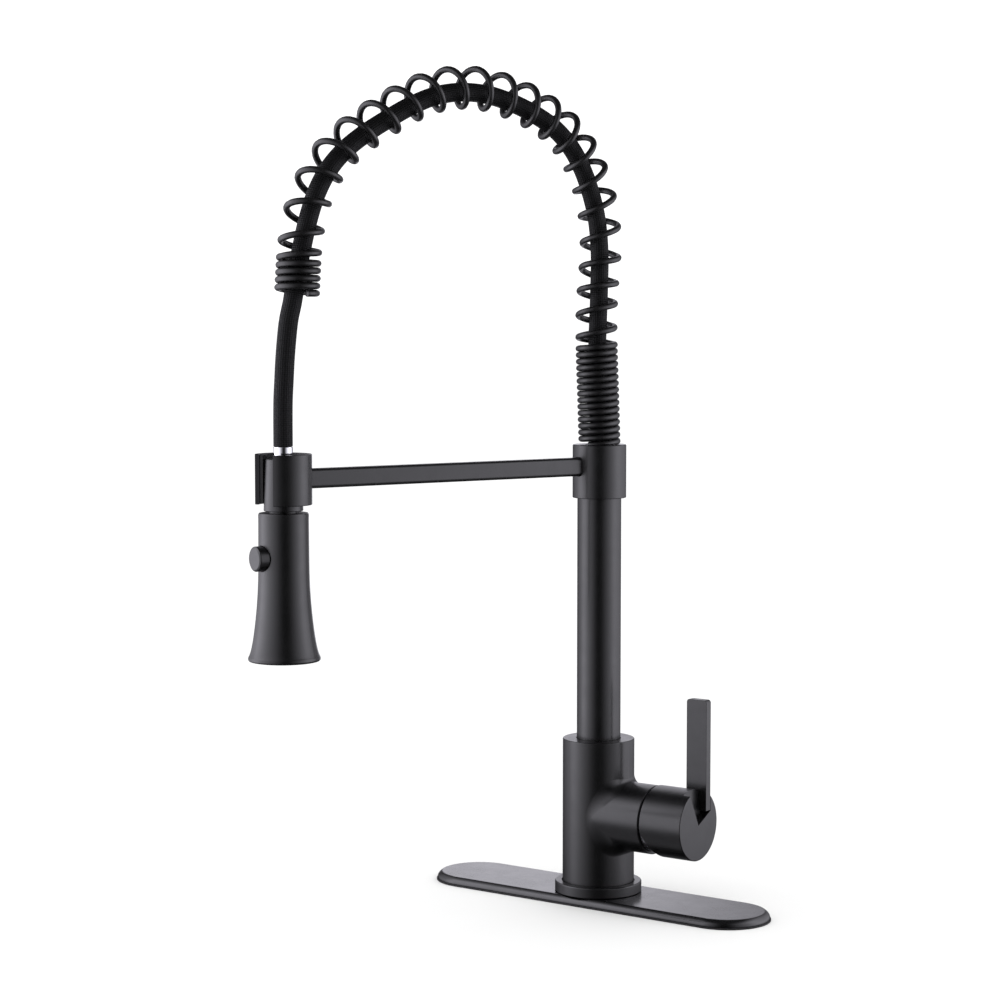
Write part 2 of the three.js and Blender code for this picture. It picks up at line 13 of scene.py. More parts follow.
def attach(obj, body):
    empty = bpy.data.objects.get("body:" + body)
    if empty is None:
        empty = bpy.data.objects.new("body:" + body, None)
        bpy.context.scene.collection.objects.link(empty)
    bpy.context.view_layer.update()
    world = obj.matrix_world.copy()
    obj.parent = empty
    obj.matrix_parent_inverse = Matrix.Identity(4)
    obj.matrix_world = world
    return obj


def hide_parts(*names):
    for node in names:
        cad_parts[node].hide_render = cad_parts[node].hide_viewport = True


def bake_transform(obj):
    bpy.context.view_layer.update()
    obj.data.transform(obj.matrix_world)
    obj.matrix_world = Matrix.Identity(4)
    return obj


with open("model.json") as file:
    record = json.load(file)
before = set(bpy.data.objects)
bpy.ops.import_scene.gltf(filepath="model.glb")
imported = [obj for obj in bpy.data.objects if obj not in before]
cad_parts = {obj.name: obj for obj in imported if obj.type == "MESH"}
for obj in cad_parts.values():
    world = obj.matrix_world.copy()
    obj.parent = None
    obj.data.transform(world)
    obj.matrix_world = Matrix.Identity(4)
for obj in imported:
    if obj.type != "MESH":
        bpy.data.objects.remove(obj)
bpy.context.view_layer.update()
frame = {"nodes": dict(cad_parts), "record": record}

MM = 0.001
VISIBLE_SIDES = 160

# ---------- measures, in millimetres ----------

SWING = Matrix.Rotation(math.radians(-20), 4, "Z")
REACH = 241.4
VALVE_Z = 59.4

PLATE_LENGTH = 258.6
PLATE_WIDTH = 58.6
GASKET_LENGTH = 260
GASKET_WIDTH = 60
DECK_HOLE = 17.5

BODY_RADIUS = 24.2
BODY_BOTTOM = 6.3
BODY_TOP = 110.2
PORT_RADIUS = 23.0
PORT_END = 46.0
PORT_BORE = 19.5
FILLET = 2.5
SIDE_BLEND = 20.0

CAP_RADIUS = 23.5
CAP_REAR = 47.6
CAP_END = 79.2
CAP_HOLLOW = 22.0
STEM_RADIUS = 3.8
TILT_X = 50.0

RISER_RADIUS = 14.75
RISER_BORE = 15.05
ARM_Z = 294.0
ARM_HEIGHT = 12.4
ARM_THICKNESS = 8.0
CLIP_INNER = 15.0
CLIP_OUTER = 17.8

WIRE_RADIUS = 2.1
COIL_RADIUS = 12.1
COIL_START = 1.8
TURN_PITCHES = (
    [4.3] * 15
    + [12.4, 16.9, 13.7, 16.8, 19.6, 18.9, 18.8, 16.2, 17.9, 17.0, 17.5, 19.1, 19.0]
    + [19.5] * 9
    + [10.5]
    + [4.6] * 5
)
FIRST_TURN = -0.45
LAST_TURN = len(TURN_PITCHES) - 0.25
STEPS_PER_TURN = 30
WIRE_SIDES = 12
SPRING_SEAT = 308.7
HOSE_RADIUS = 6.0
HOSE_SIDES = 28

# The arch: forward distance, height, and how far the hose lies to the inside.
ARCH = [
    (0, 309, 0), (1.2, 340, 0), (2.6, 374, -0.5), (2.8, 395, -1.5), (1.6, 415, -1),
    (-0.2, 432, 0.5), (-0.3, 447, 1.5), (1.2, 461, 2.2), (5, 476, 2.9), (11.8, 491.5, 2.9),
    (21.5, 506, 2.9), (34.5, 518, 2.9), (50.5, 527, 2.9), (69, 534, 2.9), (90.5, 538.9, 2.9),
    (112, 539.4, 2.9), (131, 536, 2.9), (149, 529, 2.9), (167, 519.6, 2.9), (184, 509.5, 2.8),
    (198.5, 499, 2.9), (210, 487, 2.9), (218.6, 473, 2.9), (225, 456.5, 2.9),
    (228.8, 437, 1.5), (230.3, 418, -1.2), (231.3, 403, -2.9),
]
HOSE_DROP = [
    (236.9, 392), (238.5, 380), (239.7, 367.5), (240.5, 355), (241.2, 343), (241.4, 330),
]
ARCH_STEPS = 24
HOSE_START = (0, 300)
HOSE_END = (REACH, 314.6)

NECK_BOTTOM = 274.7
BUTTON_Z = 245.8
BUTTON_RADIUS = 7.8
BUTTON_FACE = 21.0

# ---------- camera ----------


def make_camera():
    data = bpy.data.cameras.new("camera")
    data.lens = 90
    data.sensor_width = 36
    camera = bpy.data.objects.new("camera", data)
    camera.location = (0.9277, -1.3920, 0.3989)
    camera.rotation_euler = (math.radians(85.625), 0, math.radians(35.963))
    bpy.context.collection.objects.link(camera)
    bpy.context.scene.camera = camera


# ---------- curves ----------


def catmull(points, per_segment):
    """A centripetal Catmull-Rom curve through the points, as in the CAD."""
    ends = [2 * points[0] - points[1]] + points + [2 * points[-1] - points[-2]]
    curve = []
    for p0, p1, p2, p3 in zip(ends, ends[1:], ends[2:], ends[3:]):
        d0, d1, d2 = ((b - a).length ** 0.5 for a, b in ((p0, p1), (p1, p2), (p2, p3)))
        m1 = ((p1 - p0) / d0 - (p2 - p0) / (d0 + d1) + (p2 - p1) / d1) * d1
        m2 = ((p2 - p1) / d1 - (p3 - p1) / (d1 + d2) + (p3 - p2) / d2) * d1
        for i in range(per_segment):
            t = i / per_segment
            curve.append(
                (2 * t**3 - 3 * t**2 + 1) * p1
                + (t**3 - 2 * t**2 + t) * m1
                + (3 * t**2 - 2 * t**3) * p2
                + (t**3 - t**2) * m2
            )
    curve.append(points[-1])
    return curve


class Path:
    """A polyline that is read by distance along it."""

    def __init__(self, points):
        self.points = points
        self.at = [0.0]
        for a, b in zip(points, points[1:]):
            self.at.append(self.at[-1] + (b - a).length)
        self.length = self.at[-1]

    def _segment(self, distance):
        low, high = 0, len(self.at) - 2
        while low < high:
            middle = (low + high + 1) // 2
            if self.at[middle] <= distance:
                low = middle
            else:
                high = middle - 1
        return low

    def point(self, distance):
        i = self._segment(distance)
        share = (distance - self.at[i]) / (self.at[i + 1] - self.at[i])
        return self.points[i].lerp(self.points[i + 1], share)

    def tangent(self, distance, span=1.0):
        ahead = self.point(min(distance + span, self.length))
        behind = self.point(max(distance - span, 0.0))
        return (ahead - behind).normalized()


def arch_path():
    """The spring's middle line, before the spout's swing."""
    return Path(catmull([Vector((0, -s, z)) for s, z, _ in ARCH], ARCH_STEPS))


def outward(path, distance):
    """The direction away from the inside of the arch."""
    return path.tangent(distance).cross(Vector((1, 0, 0)))


def hose_path():
    """The hose: from the collar, through the spring, and down to the head."""
    arch = arch_path()
    points = [Vector((0, -HOSE_START[0], HOSE_START[1]))]
    for number, (s, z, inside) in enumerate(ARCH):
        distance = arch.at[number * ARCH_STEPS]
        points.append(Vector((0, -s, z)) - outward(arch, distance) * inside)
    points += [Vector((0, -s, z)) for s, z in HOSE_DROP + [HOSE_END]]
    return Path(catmull(points, 16))


def rise(turn):
    """How far along the arch the spring wire is after so many turns."""
    whole = min(int(turn), len(TURN_PITCHES) - 1)
    return COIL_START + sum(TURN_PITCHES[:whole]) + (turn - whole) * TURN_PITCHES[whole]


# ---------- mesh helpers ----------


def make_object(name, vertices, faces, transform=None, sharp=35):
    mesh = bpy.data.meshes.new(name)
    mesh.from_pydata([tuple(v) for v in vertices], [], faces)
    mesh.update()
    if transform is not None:
        mesh.transform(transform)
    mesh.transform(Matrix.Scale(MM, 4))
    piece = bpy.data.objects.new(name, mesh)
    bpy.context.collection.objects.link(piece)
    face_outward(mesh)
    shade(mesh, sharp)
    return piece


def face_outward(mesh):
    """Merges doubled corners and turns every face to the outside."""
    form = bmesh.new()
    form.from_mesh(mesh)
    bmesh.ops.remove_doubles(form, verts=form.verts, dist=1e-7)
    bmesh.ops.recalc_face_normals(form, faces=form.faces)
    form.to_mesh(mesh)
    form.free()


def shade(mesh, sharp):
    mesh.polygons.foreach_set("use_smooth", [True] * len(mesh.polygons))
    mesh.set_sharp_from_angle(angle=math.radians(sharp))


def apply_modifiers(piece):
    graph = bpy.context.evaluated_depsgraph_get()
    baked = bpy.data.meshes.new_from_object(piece.evaluated_get(graph))
    piece.modifiers.clear()
    piece.data = baked


def combine(piece, others, operation, sharp=35):
    """Cuts the other objects out of the piece, or joins them to it, and removes them."""
    for other in others:
        step = piece.modifiers.new("combine", "BOOLEAN")
        step.operation = operation
        step.solver = "EXACT"
        step.object = other
    apply_modifiers(piece)
    for other in others:
        bpy.data.objects.remove(other)
    shade(piece.data, sharp)


def soften(piece, width, segments=2, limit=40, sharp=35):
    """Rounds the piece's edges that are sharper than the limit."""
    step = piece.modifiers.new("soften", "BEVEL")
    step.width = width * MM
    step.segments = segments
    step.limit_method = "ANGLE"
    step.angle_limit = math.radians(limit)
    apply_modifiers(piece)
    shade(piece.data, sharp)


def rounded(corners, steps=5):
    """The profile with each (radius, height, rounding) corner rounded off."""
    points = [Vector((r, z)) for r, z, _ in corners]
    out = []
    for i, (corner, (_, _, size)) in enumerate(zip(points, corners)):
        if size == 0:
            out.append(corner)
            continue
        before = (points[i - 1] - corner).normalized()
        after = (points[(i + 1) % len(points)] - corner).normalized()
        half = before.angle(after) / 2
        start = corner + before * (size / math.tan(half))
        end = corner + after * (size / math.tan(half))
        centre = corner + (before + after).normalized() * (size / math.sin(half))
        for k in range(steps + 1):
            spoke = (start - centre).lerp(end - centre, k / steps)
            out.append(centre + spoke.normalized() * size)
    return out


def even_shading(piece):
    """Keeps flat faces whole, and evenly lit up to their rounded edges."""
    step = piece.modifiers.new("whole", "DECIMATE")
    step.decimate_type = "DISSOLVE"
    step.angle_limit = math.radians(0.2)
    step = piece.modifiers.new("even", "WEIGHTED_NORMAL")
    step.keep_sharp = True
    apply_modifiers(piece)


def turned(name, corners, transform=None, sides=96, sharp=35):
    """A solid of revolution about Z. A profile that is off the axis closes on itself."""
    profile = rounded(corners)
    closed = profile[0].x > 1e-6
    vertices, faces = [], []
    for i in range(sides):
        angle = 2 * math.pi * i / sides
        cosine, sine = math.cos(angle), math.sin(angle)
        vertices += [(p.x * cosine, p.x * sine, p.y) for p in profile]
    count = len(profile)
    for i in range(sides):
        a, b = i * count, ((i + 1) % sides) * count
        for j in range(count if closed else count - 1):
            k = (j + 1) % count
            faces.append((a + j, b + j, b + k, a + k))
    return make_object(name, vertices, faces, transform, sharp)


def plug(name, radius, start, end, transform=None, sides=96):
    """A plain cylinder about Z, used to cut holes."""
    return turned(name, [(0, start, 0), (radius, start, 0), (radius, end, 0), (0, end, 0)],
                  transform, sides)


def loft(name, sections, transform=None, loop=False, sharp=35):
    """A skin over closed sections of equal point counts, capped unless it loops."""
    count = len(sections[0])
    vertices = [p for section in sections for p in section]
    faces = []
    last = len(sections)
    for i in range(last if loop else last - 1):
        a, b = i * count, ((i + 1) % last) * count
        for j in range(count):
            k = (j + 1) % count
            faces.append((a + j, a + k, b + k, b + j))
    if not loop:
        faces.append(tuple(range(count)))
        faces.append(tuple(range((last - 1) * count, last * count)))
    return make_object(name, vertices, faces, transform, sharp)


def box(name, x0, x1, y0, y1, z0, z1, transform=None):
    low = [(x0, y0, z0), (x1, y0, z0), (x1, y1, z0), (x0, y1, z0)]
    high = [(x, y, z1) for x, y, _ in low]
    return loft(name, [low, high], transform)


def prism(name, outline, axis, start, end, transform=None):
    """A flat outline extruded along axis 0 (drawn in y, z) or axis 1 (drawn in x, z)."""
    def lift(p, depth):
        return (depth, *p) if axis == 0 else (p[0], depth, p[1])
    sections = [[lift(p, depth) for p in outline] for depth in (start, end)]
    return loft(name, sections, transform)


def tube(name, centres, radius, sides, side_axis, transform):
    """A round tube with flat ends along the centres; side_axis gives one direction across."""
    sections = []
    for i, centre in enumerate(centres):
        ahead = centres[min(i + 1, len(centres) - 1)]
        behind = centres[max(i - 1, 0)]
        along = (ahead - behind).normalized()
        across = side_axis(i)
        across = (across - along * across.dot(along)).normalized()
        up = along.cross(across)
        section = []
        for j in range(sides):
            angle = 2 * math.pi * j / sides
            section.append(centre + (across * math.cos(angle) + up * math.sin(angle)) * radius)
        sections.append(section)
    return loft(name, sections, transform, sharp=60)


def to_axis(axis, at=(0, 0, 0)):
    """Takes a shape made about Z to one about another axis through a point."""
    turn = Vector((0, 0, 1)).rotation_difference(Vector(axis)).to_matrix().to_4x4()
    return Matrix.Translation(Vector(at)) @ turn


VALVE = Matrix.Translation((0, 0, VALVE_Z))
ALONG_VALVE = VALVE @ to_axis((1, 0, 0))
HEAD = SWING @ Matrix.Translation((0, -REACH, 0))
FORWARD_BUTTON = HEAD @ to_axis((0, -1, 0), (0, 0, BUTTON_Z))

# ---------- materials ----------


class Nodes:
    """A short way to write a material's node tree."""

    def __init__(self, name):
        self.material = bpy.data.materials.new(name)
        self.material.use_nodes = True
        self.tree = self.material.node_tree
        self.shader = self.tree.nodes["Principled BSDF"]
        self.place = self.tree.nodes.new("ShaderNodeTexCoord").outputs["Object"]

    def set(self, **values):
        for key, value in values.items():
            self.shader.inputs[key.replace("_", " ")].default_value = value

    def link(self, source, target):
        self.tree.links.new(source, target)

    def noise(self, scale, detail=2.0, roughness=0.5, place=None):
        node = self.tree.nodes.new("ShaderNodeTexNoise")
        node.inputs["Scale"].default_value = scale
        node.inputs["Detail"].default_value = detail
        node.inputs["Roughness"].default_value = roughness
        self.link(place or self.place, node.inputs["Vector"])
        return node.outputs["Fac"]

    def math(self, operation, a, b=None, clamp=False):
        node = self.tree.nodes.new("ShaderNodeMath")
        node.operation = operation
        node.use_clamp = clamp
        for socket, value in zip(node.inputs, (a, b)):
            if value is None:
                continue
            if isinstance(value, (int, float)):
                socket.default_value = value
            else:
                self.link(value, socket)
        return node.outputs[0]

    def ramp(self, factor, low, high, start=0.0, end=1.0):
        node = self.tree.nodes.new("ShaderNodeMapRange")
        node.inputs["From Min"].default_value = start
        node.inputs["From Max"].default_value = end
        node.inputs["To Min"].default_value = low
        node.inputs["To Max"].default_value = high
        self.link(factor, node.inputs["Value"])
        return node.outputs["Result"]

    def mix(self, factor, dark, light):
        node = self.tree.nodes.new("ShaderNodeMix")
        node.data_type = "RGBA"
        node.inputs["A"].default_value = (*dark, 1)
        node.inputs["B"].default_value = (*light, 1)
        self.link(factor, node.inputs["Factor"])
        return node.outputs["Result"]

    def bump(self, height, distance, strength=1.0, under=None):
        node = self.tree.nodes.new("ShaderNodeBump")
        node.inputs["Strength"].default_value = strength
        node.inputs["Distance"].default_value = distance
        self.link(height, node.inputs["Height"])
        if under is not None:
            self.link(under, node.inputs["Normal"])
        return node.outputs["Normal"]

    def scaled(self, x, y, z):
        node = self.tree.nodes.new("ShaderNodeMapping")
        node.inputs["Scale"].default_value = (x, y, z)
        self.link(self.place, node.inputs["Vector"])
        return node.outputs["Vector"]


def paint(name, base, roughness, peel=0.00002, coat=0.25, gloss=0.5):
    """Satin black enamel with a very fine orange peel and faint handling marks."""
    n = Nodes(name)
    n.set(Specular_IOR_Level=gloss, Coat_Weight=coat, Coat_Roughness=0.16)
    cloud = n.noise(34, 3)
    n.link(n.mix(cloud, [0.8 * c for c in base], [1.2 * c for c in base]),
           n.shader.inputs["Base Color"])
    rubbed = n.noise(90, 4, 0.6)
    n.link(n.ramp(rubbed, roughness - 0.04, roughness + 0.05, 0.3, 0.7),
           n.shader.inputs["Roughness"])
    skin = n.bump(n.noise(950, 2), peel)
    n.link(n.bump(n.noise(3200, 1), peel * 0.25, under=skin), n.shader.inputs["Normal"])
    return n.material


def polished_chrome():
    n = Nodes("polished_chrome")
    n.set(Metallic=1.0, Base_Color=(0.86, 0.87, 0.88, 1))
    n.link(n.ramp(n.noise(500, 3), 0.05, 0.12, 0.3, 0.7), n.shader.inputs["Roughness"])
    return n.material


def brushed(name, color, roughness, stretch):
    """Machined metal, with fine lines drawn out along one axis."""
    n = Nodes(name)
    n.set(Metallic=1.0)
    lines = n.noise(400, 3, 0.6, n.scaled(*stretch))
    n.link(n.mix(lines, [0.8 * c for c in color], color), n.shader.inputs["Base Color"])
    n.link(n.ramp(lines, roughness - 0.06, roughness + 0.1, 0.3, 0.7),
           n.shader.inputs["Roughness"])
    n.link(n.bump(lines, 0.00001), n.shader.inputs["Normal"])
    return n.material


def moulded(name, base, roughness, grain=0.00003):
    """Moulded plastic or rubber with a fine spark-eroded grain."""
    n = Nodes(name)
    n.set(Specular_IOR_Level=0.4)
    n.link(n.mix(n.noise(120, 3), [0.8 * c for c in base], [1.2 * c for c in base]),
           n.shader.inputs["Base Color"])
    n.link(n.ramp(n.noise(260, 2), roughness - 0.05, roughness + 0.06, 0.3, 0.7),
           n.shader.inputs["Roughness"])
    n.link(n.bump(n.noise(2400, 2), grain), n.shader.inputs["Normal"])
    return n.material


def braid():
    """Woven nylon: two families of yarns that wind round the hose against each other.

    The UV map holds turns round the hose and millimetres along it.
    """
    n = Nodes("braided_nylon")
    n.set(Specular_IOR_Level=0.14)
    dark_yarn, light_yarn = (0.0015, 0.0015, 0.0017), (0.008, 0.008, 0.009)
    split = n.tree.nodes.new("ShaderNodeSeparateXYZ")
    uv = n.tree.nodes.new("ShaderNodeUVMap")
    uv.uv_map = "UVMap"
    n.link(uv.outputs["UV"], split.inputs["Vector"])
    yarns, pitch = 14, 2.6
    around = n.math("MULTIPLY", split.outputs["X"], 2 * math.pi * yarns)
    along = n.math("MULTIPLY", split.outputs["Y"], 2 * math.pi / pitch)
    left = n.math("SINE", n.math("ADD", around, along))
    right = n.math("SINE", n.math("SUBTRACT", around, along))
    weave = n.math("MULTIPLY", left, right)
    height = n.ramp(weave, 0.0, 1.0, -1.0, 1.0)
    n.link(n.mix(height, dark_yarn, light_yarn), n.shader.inputs["Base Color"])
    n.link(n.ramp(n.noise(700, 2), 0.42, 0.6, 0.3, 0.7), n.shader.inputs["Roughness"])
    woven = n.bump(height, 0.00022)
    n.link(n.bump(n.noise(5000, 2), 0.00002, under=woven), n.shader.inputs["Normal"])
    return n.material


def make_materials():
    black = (0.0026, 0.0026, 0.0028)
    return {
        "black_paint": paint("black_enamel", black, 0.33),
        "plate_paint": paint("plate_enamel", black, 0.24, coat=0.4),
        "wire_paint": paint("wire_enamel", black, 0.36, coat=0.0, gloss=0.6),
        "rubber": moulded("rubber", (0.012, 0.012, 0.013), 0.62, 0.00005),
        "hose_braid": braid(),
        "chrome": polished_chrome(),
        "steel": brushed("turned_steel", (0.55, 0.56, 0.57), 0.3, (0.2, 1, 1)),
        "brass": brushed("turned_brass", (0.6, 0.45, 0.2), 0.32, (1, 1, 0.2)),
        "black_plastic": moulded("black_plastic", (0.012, 0.012, 0.013), 0.45),
        "ceramic": moulded("ceramic", (0.75, 0.72, 0.66), 0.25, 0.00001),
    }


def dress(piece, slot, body, *nodes, look=None):
    """Gives a new piece its slot's material; with a body, evens its shading and hangs it on that
    body; hides the nodes it stands for.
    """
    piece.data.materials.clear()
    piece.data.materials.append(MATERIALS[look or slot])
    if body is not None:
        even_shading(piece)
        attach(piece, body)
    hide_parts(*nodes)
    return piece


# ---------- hose and spring ----------


def make_hose():
    path = hose_path()
    steps = 420
    centres = [path.point(path.length * i / steps) for i in range(steps + 1)]
    hose = tube("hose", centres, HOSE_RADIUS, HOSE_SIDES, lambda i: Vector((1, 0, 0)), SWING)
    braid_map(hose.data, path.length, steps, HOSE_SIDES)
    dress(hose, "hose_braid", None, "spray_hose")
    across_arch(hose)
    route_steps = 90
    route = [
        SWING @ path.point(path.length * i / route_steps) * MM for i in range(route_steps + 1)
    ]


def braid_map(mesh, length, steps, sides):
    """A UV map of turns round the tube and millimetres along it."""
    layer = mesh.uv_layers.new(name="UVMap")
    for face in mesh.polygons:
        ends = len(face.vertices) > 4
        for loop, vertex in zip(face.loop_indices, face.vertices):
            step, side = divmod(vertex, sides)
            wraps = side == 0 and any(v % sides == sides - 1 for v in face.vertices)
            turn = 1.0 if wraps and not ends else side / sides
            layer.data[loop].uv = (turn, step * length / steps)


def across_arch(piece):
    """Bakes the piece's placement into its mesh."""
    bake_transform(piece)


def grind_flat(piece, seat):
    """Flatten the wire's lowest turn onto the collar it stands on."""
    for vertex in piece.data.vertices:
        vertex.co.z = max(vertex.co.z, seat * MM)


def make_spring():
    arch = arch_path()
    steps = len(TURN_PITCHES) * STEPS_PER_TURN
    centres, spokes = [], []
    for i in range(steps + 1):
        turn = FIRST_TURN + (LAST_TURN - FIRST_TURN) * i / steps
        distance = min(max(rise(turn), 0), arch.length)
        angle = math.pi / 2 + 2 * math.pi * turn
        spoke = Vector((math.cos(angle), 0, 0)) + outward(arch, distance) * math.sin(angle)
        spokes.append(spoke)
        centres.append(arch.point(distance) + spoke * COIL_RADIUS)
    spring = tube("spring", centres, WIRE_RADIUS, WIRE_SIDES, lambda i: spokes[i], SWING)
    grind_flat(spring, SPRING_SEAT)
    soften(spring, 0.4, limit=60)
    dress(spring, "black_paint", None, "support_spring", look="wire_paint")
    across_arch(spring)


# ---------- deck plate ----------


def stadium_ring(length, width, z, per_end=40):
    """Points of a stadium outline at one height, anticlockwise."""
    radius = width / 2
    half = length / 2 - radius
    points = []
    for centre, first in ((half, -90), (-half, 90)):
        for i in range(per_end + 1):
            angle = math.radians(first + 180 * i / per_end)
            points.append((centre + radius * math.cos(angle), radius * math.sin(angle), z))
    return points


def stadium_slab(name, length, width, rim, sharp=35):
    """A stadium-shaped plate with the deck hole; its rim is a list of (inset, height)."""
    sections = [stadium_ring(length - 2 * inset, width - 2 * inset, z) for inset, z in rim]
    slab = loft(name, sections, sharp=sharp)
    hole = plug("hole", DECK_HOLE, -1, 9)
    combine(slab, [hole], "DIFFERENCE", sharp=sharp)
    return slab


def make_plate():
    plate_rim = [(0, 1.5), (0, 2.6), (0.35, 3.5), (1.0, 4.4), (1.8, 5.2), (2.6, 5.75),
                 (3.3, 5.97), (3.9, 6.0)]
    plate = stadium_slab("plate", PLATE_LENGTH, PLATE_WIDTH, plate_rim, sharp=50)
    dress(plate, "black_paint", "base", "deck_plate", look="plate_paint")
    gasket_rim = [(0.3, 0), (0, 0.3), (0, 0.9), (0.3, 1.2)]
    gasket = stadium_slab("gasket", GASKET_LENGTH, GASKET_WIDTH, gasket_rim)
    dress(gasket, "rubber", "base", "deck_gasket")


# ---------- body ----------


def fillet_sections(around=144, across=12, sink=0.03):
    """The corner between port and column, rolled round by a ball that grows at the sides."""
    sections = []
    for i in range(around):
        angle = 2 * math.pi * i / around
        sections.append(fillet_section(angle, across, sink))
    return sections


def fillet_section(angle, across, sink):
    ball = FILLET + SIDE_BLEND * math.cos(angle) ** 2
    reach = PORT_RADIUS + ball
    y, z = reach * math.cos(angle), reach * math.sin(angle)
    x = math.sqrt((BODY_RADIUS + ball) ** 2 - y**2)
    centre = Vector((x, y, z))
    shrink = (BODY_RADIUS - sink) / (BODY_RADIUS + ball)
    on_column = Vector((x * shrink, y * shrink, z))
    port_shrink = (PORT_RADIUS - sink) / reach
    on_port = Vector((x, y * port_shrink, z * port_shrink))
    points = [on_port]
    for k in range(1, across):
        spoke = on_port.lerp(on_column, k / across) - centre
        points.append(centre + spoke.normalized() * ball)
    points.append(on_column)
    inside_y = PORT_RADIUS * 0.85 * math.cos(angle)
    inside_z = PORT_RADIUS * 0.85 * math.sin(angle)
    inside_x = 0.9 * math.sqrt(BODY_RADIUS**2 - inside_y**2)
    points.append(Vector((inside_x, inside_y, inside_z)))
    return points


def make_body():
    body = turned("body", [
        (16.3, BODY_BOTTOM, 0), (BODY_RADIUS, BODY_BOTTOM, 0.4), (BODY_RADIUS, BODY_TOP, 0.7),
        (RISER_BORE, BODY_TOP, 0.3), (RISER_BORE, 84, 0), (5, 84, 0), (5, 36, 0), (16.3, 36, 0),
    ], sides=VISIBLE_SIDES)
    port = turned("port", [
        (0, 6, 0), (PORT_RADIUS, 6, 0), (PORT_RADIUS, PORT_END, 0.5), (0, PORT_END, 0),
    ], ALONG_VALVE, sides=VISIBLE_SIDES)
    corner = loft("corner", fillet_sections(), VALVE, loop=True)
    bore = plug("bore", PORT_BORE, 22, PORT_END + 1, ALONG_VALVE)
    combine(body, [port, corner], "UNION")
    combine(body, [bore], "DIFFERENCE")
    dress(body, "black_paint", "base", "valve_body")
    ring = turned("base_flange", [
        (24.6, BODY_BOTTOM, 0), (29.3, BODY_BOTTOM, 0.3), (29.3, 13.2, 0.9), (24.6, 13.2, 0.3),
    ], sides=VISIBLE_SIDES)
    dress(ring, "black_paint", "base", "base_ring")


# ---------- handle ----------


def make_handle():
    cap = turned("cap", [
        (0, CAP_REAR, 0), (CAP_RADIUS, CAP_REAR, 0.4), (CAP_RADIUS, CAP_END, 0.6),
        (0, CAP_END, 0),
    ], ALONG_VALVE, sides=VISIBLE_SIDES)
    hollow = turned("hollow", half_circle(CAP_HOLLOW, 40), ALONG_VALVE)
    cutters = [hollow, rear_relief(), lever_notch(),
               box("seat", 63.5, 90, 9.1, 15.2, 16.3, 30, VALVE)]
    combine(cap, cutters, "DIFFERENCE")
    boss = turned("boss", [
        (STEM_RADIUS, 63, 0), (7, 63, 0.5), (7, 73, 0), (STEM_RADIUS, 73, 0),
    ], ALONG_VALVE)
    socket = plug("socket", STEM_RADIUS, 62, 70.3, ALONG_VALVE)
    screw_hole = plug("screw_hole", 2.3, -30, -1, VALVE @ Matrix.Translation((67.5, 0, 0)))
    combine(cap, [boss], "UNION")
    combine(cap, [socket, screw_hole], "DIFFERENCE")
    dress(cap, "black_paint", "handle", "handle_cap")
    dress(make_lever(), "black_paint", "handle", "handle_lever")


def half_circle(radius, steps):
    """The profile of a ball about the point that the handle tilts on."""
    points = []
    for i in range(steps + 1):
        angle = math.pi * (i / steps - 0.5)
        points.append((abs(radius * math.cos(angle)), TILT_X + radius * math.sin(angle), 0))
    points[0] = (0, TILT_X - radius, 0)
    points[-1] = (0, TILT_X + radius, 0)
    return points


def rear_relief():
    """The cut at the drum's lower rear edge that lets it tilt."""
    side = [(46, -4), (CAP_REAR, -4), (57.1, -24.6), (46, -24.6)]
    return prism("relief", side, 1, -30, 30, VALVE)


def lever_notch():
    """The V in the drum's end that the lever's foot stands in."""
    face = [(0, 0), (15.2, 7.8), (15.2, 30), (-14.8, 30)]
    return prism("notch", face, 0, 73.8, 82, VALVE)


def make_lever():
    """A flat blade with a step at its foot, drawn from the side."""
    outline = rounded([
        (63.8, 16.6, 0.4), (74.1, 16.6, 0.2), (74.1, 8.0, 0.2), (CAP_END, 8.0, 0.3),
        (CAP_END, 81.9, 2.0), (63.8, 81.9, 2.0),
    ], steps=8)
    lever = prism("lever", [tuple(p) for p in outline], 1, 9.4, 14.9, VALVE)
    soften(lever, 0.45, segments=3, limit=50)
    return lever


# ---------- riser, collar, arm and clip ----------


def make_riser():
    riser = turned("riser", [
        (12, 84.6, 0), (RISER_RADIUS, 84.6, 0.3), (RISER_RADIUS, 90, 0), (13, 90, 0),
        (13, 92.2, 0), (RISER_RADIUS, 92.2, 0), (RISER_RADIUS, 303, 0.3), (12, 303, 0),
    ], SWING, sides=128)
    dress(riser, "black_paint", "spout", "riser_tube")
    collar = turned("collar", [
        (RISER_BORE, 272.8, 0.2), (18, 272.8, 0.5), (18, 308.5, 0.8), (9.5, 308.5, 0.3),
        (9.5, 303.5, 0), (RISER_BORE, 303.5, 0),
    ], SWING, sides=128)
    screw_hole = plug("screw_hole", 2.1, -20, -10, SWING @ to_axis((0, -1, 0), (0, 0, ARM_Z)))
    combine(collar, [arm_window(10, 20), screw_hole], "DIFFERENCE")
    dress(collar, "black_paint", "spout", "riser_collar")


def arm_section(s, shrink=0.0):
    half_x = ARM_THICKNESS / 2 - shrink
    half_z = ARM_HEIGHT / 2 - shrink
    size = 2.4 - shrink
    corners = [(half_x, half_z, size), (-half_x, half_z, size), (-half_x, -half_z, size),
               (half_x, -half_z, size)]
    return [(p.x, -s, ARM_Z + p.y) for p in rounded(corners, 8)]


def arm_window(near, far):
    grow = -0.3
    return loft("window", [arm_section(near, grow), arm_section(far, grow)], SWING)


def make_arm():
    arm = loft("arm", [arm_section(15.6), arm_section(REACH - CLIP_INNER)], SWING)
    end = plug("end", CLIP_INNER + 0.3, 280, 310, HEAD, sides=128)
    combine(arm, [end], "DIFFERENCE")
    dress(arm, "black_paint", "spout", "dock_arm")


